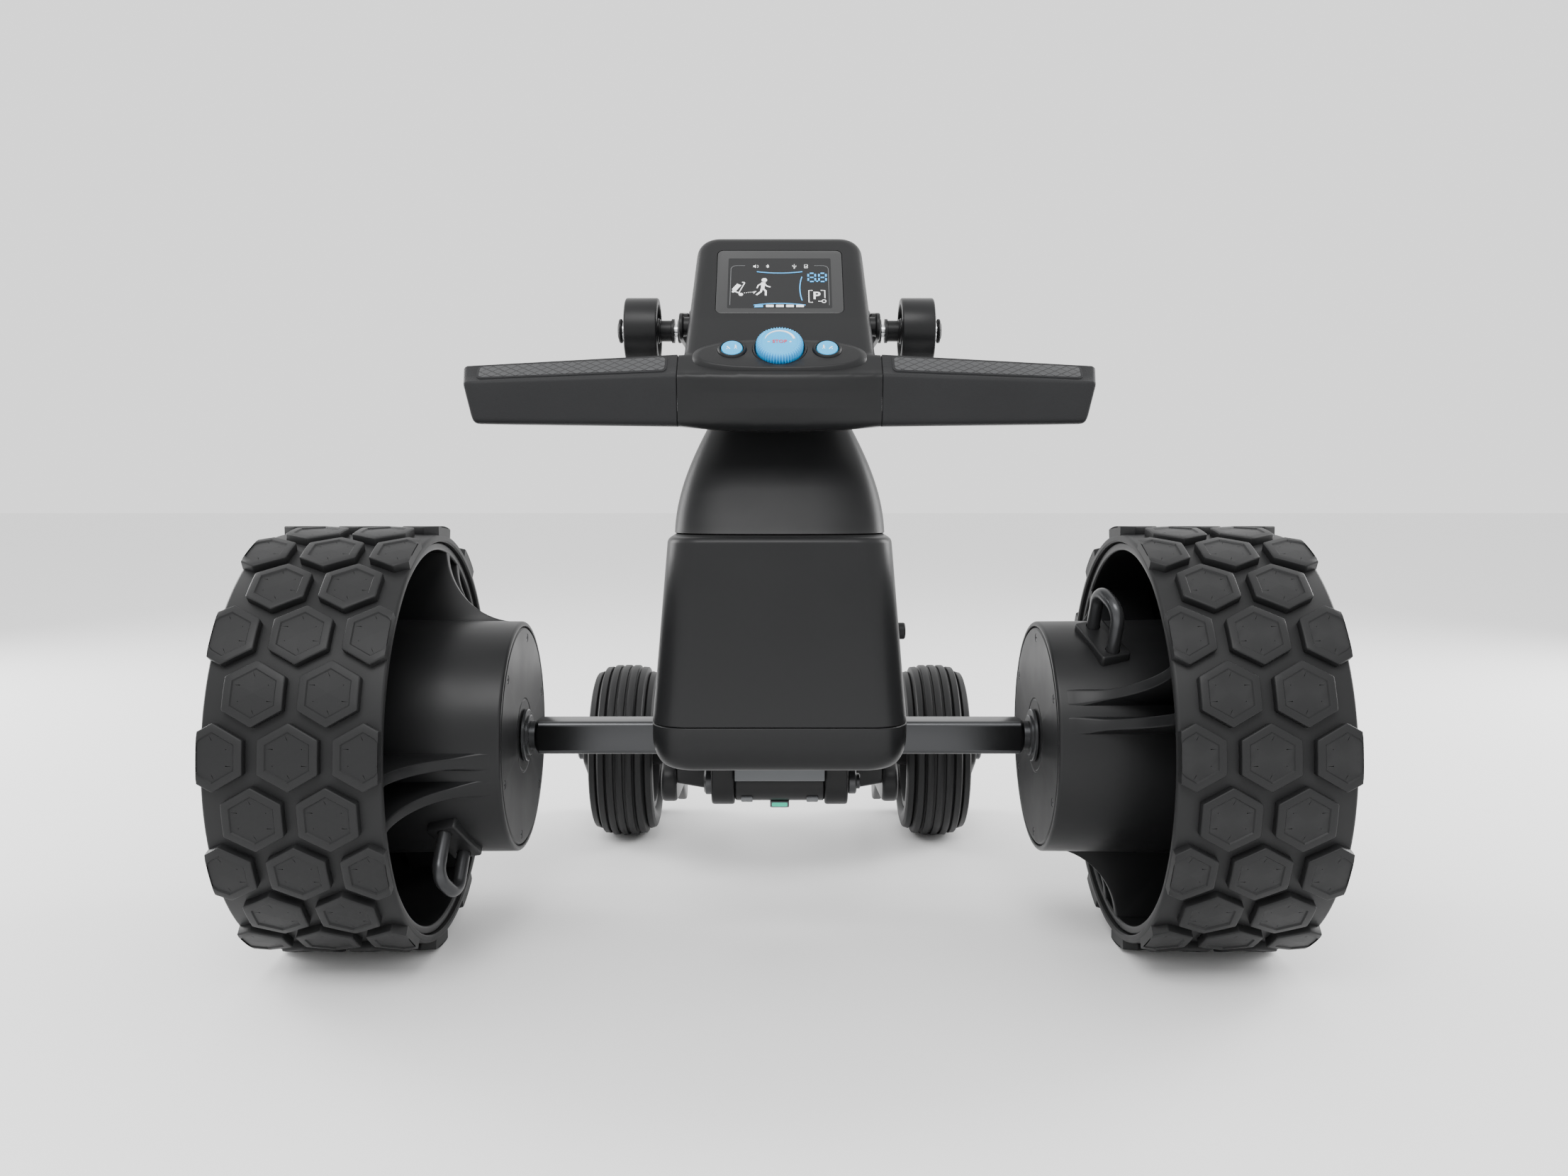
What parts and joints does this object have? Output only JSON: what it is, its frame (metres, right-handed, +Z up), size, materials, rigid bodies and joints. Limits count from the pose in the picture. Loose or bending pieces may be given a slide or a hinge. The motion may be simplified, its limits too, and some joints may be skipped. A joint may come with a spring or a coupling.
{
  "type": "electric golf trolley",
  "caption": "Folded electric golf trolley: two wide lugged drive wheels on a bar axle, battery box, leaning neck, handlebar console with display and dial, and a front frame with small wheels.",
  "frame": {"origin": "on the ground, under the middle of the overall box", "axes": "+X to the right of a user standing behind it and along the axle, +Y forwards, +Z up"},
  "size_m": [0.731, 0.528, 0.5309],
  "materials": {
    "black_plastic": "fine grained moulding",
    "dark_plastic": "satin moulding",
    "tread_rubber": "matt, moulded tread",
    "grip_rubber": "soft, leather grained",
    "satin_metal": "satin black coated metal",
    "steel": "bright turned steel",
    "grey_plate": "satin grey",
    "display_glass": "polished black lens",
    "blue_plastic": "satin light blue",
    "circuit_board": "solder mask",
    "copper_winding": "enamelled windings"
  },
  "bodies": {
    "chassis": {"axle_beam": "satin_metal", "axle_collar_left": "satin_metal", "axle_collar_right": "satin_metal", "stator_left": "copper_winding", "stator_right": "copper_winding", "base_tray": "black_plastic", "rear_cover": "black_plastic", "battery_pack": "dark_plastic", "controller_board": "circuit_board", "neck_shell": "black_plastic", "neck_head": "satin_metal", "roller_axle": "steel", "axle_sleeve_left": "black_plastic", "axle_sleeve_right": "black_plastic", "hanger_left": "dark_plastic", "hanger_right": "dark_plastic", "hinge_bolt": "steel", "cross_plate": "grey_plate"},
    "power_button": {"power_button": "dark_plastic"},
    "front_frame": {"cross_member": "black_plastic", "front_fork_left": "black_plastic", "front_fork_right": "black_plastic", "front_axle_left": "satin_metal", "front_axle_right": "satin_metal", "under_sensor": "grey_plate"},
    "handle": {"console_lower": "black_plastic", "console_top": "black_plastic", "display_glass": "display_glass", "display_module": "dark_plastic", "main_board": "circuit_board", "handle_tube": "steel", "grip_left": "grip_rubber", "grip_right": "grip_rubber", "pivot_plate_left": "black_plastic", "pivot_plate_right": "black_plastic"},
    "dial_press": {"dial_shaft": "satin_metal"},
    "dial": {"dial_knob": "blue_plastic"},
    "button_left": {"button_left": "blue_plastic"},
    "button_right": {"button_right": "blue_plastic"},
    "roller_left": {"roller_left": "black_plastic"},
    "roller_right": {"roller_right": "black_plastic"},
    "drive_wheel_left": {"drive_tyre_left": "tread_rubber", "drive_rim_left": "black_plastic", "hub_cover_left": "dark_plastic", "wheel_bearing_left": "steel", "wheel_cap_left": "dark_plastic"},
    "pull_loop_left": {"pull_loop_left": "satin_metal"},
    "front_wheel_left": {"front_tyre_left": "tread_rubber", "front_rim_left": "dark_plastic"},
    "drive_wheel_right": {"drive_tyre_right": "tread_rubber", "drive_rim_right": "black_plastic", "hub_cover_right": "dark_plastic", "wheel_bearing_right": "steel", "wheel_cap_right": "dark_plastic"},
    "pull_loop_right": {"pull_loop_right": "satin_metal"},
    "front_wheel_right": {"front_tyre_right": "tread_rubber", "front_rim_right": "dark_plastic"}
  },
  "joints": [
    {"name": "drive_wheel_left_spin", "type": "hinge", "parent": "chassis", "child": "drive_wheel_left", "pos_m": [-0.308, -0.10796, 0.156], "axis": [1, 0, 0], "continuous": true},
    {"name": "pull_loop_left_pull", "type": "slide", "parent": "drive_wheel_left", "child": "pull_loop_left", "axis": [0, -0.6921, -0.7218], "range_m": [0, 0.006], "stiffness_N_per_m": 500, "springref_m": -0.01},
    {"name": "front_wheel_left_spin", "type": "hinge", "parent": "front_frame", "child": "front_wheel_left", "pos_m": [-0.147, 0.17504, 0.082], "axis": [1, 0, 0], "continuous": true},
    {"name": "roller_left_spin", "type": "hinge", "parent": "chassis", "child": "roller_left", "pos_m": [-0.1075, -0.02796, 0.462], "axis": [1, 0, 0], "continuous": true},
    {"name": "button_left_press", "type": "slide", "parent": "handle", "child": "button_left", "axis": [0, 0.7193, -0.6947], "range_m": [0, 0.0012], "stiffness_N_per_m": 800, "springref_m": -0.001},
    {"name": "drive_wheel_right_spin", "type": "hinge", "parent": "chassis", "child": "drive_wheel_right", "pos_m": [0.308, -0.10796, 0.156], "axis": [1, 0, 0], "continuous": true},
    {"name": "pull_loop_right_pull", "type": "slide", "parent": "drive_wheel_right", "child": "pull_loop_right", "axis": [0, -0.471, 0.8821], "range_m": [0, 0.006], "stiffness_N_per_m": 500, "springref_m": -0.01},
    {"name": "front_wheel_right_spin", "type": "hinge", "parent": "front_frame", "child": "front_wheel_right", "pos_m": [0.147, 0.17504, 0.082], "axis": [1, 0, 0], "continuous": true},
    {"name": "roller_right_spin", "type": "hinge", "parent": "chassis", "child": "roller_right", "pos_m": [0.1075, -0.02796, 0.462], "axis": [1, 0, 0], "continuous": true},
    {"name": "button_right_press", "type": "slide", "parent": "handle", "child": "button_right", "axis": [0, 0.7193, -0.6947], "range_m": [0, 0.0012], "stiffness_N_per_m": 800, "springref_m": -0.001},
    {"name": "front_frame_fold", "type": "hinge", "parent": "chassis", "child": "front_frame", "pos_m": [0, -0.06396, 0.11], "axis": [1, 0, 0], "range_deg": [-60, 0]},
    {"name": "handle_fold", "type": "hinge", "parent": "chassis", "child": "handle", "pos_m": [0, -0.02796, 0.462], "axis": [1, 0, 0], "range_deg": [-110, 0]},
    {"name": "dial_push", "type": "slide", "parent": "handle", "child": "dial_press", "axis": [0, 0.7193, -0.6947], "range_m": [0, 0.0012], "stiffness_N_per_m": 1500, "springref_m": -0.001},
    {"name": "dial_turn", "type": "hinge", "parent": "dial_press", "child": "dial", "pos_m": [0, -0.13096, 0.437], "axis": [0, -0.7193, 0.6947], "continuous": true},
    {"name": "power_button_press", "type": "slide", "parent": "chassis", "child": "power_button", "axis": [-1, 0, 0], "range_m": [0, 0.0015], "stiffness_N_per_m": 800, "springref_m": -0.001}
  ]
}
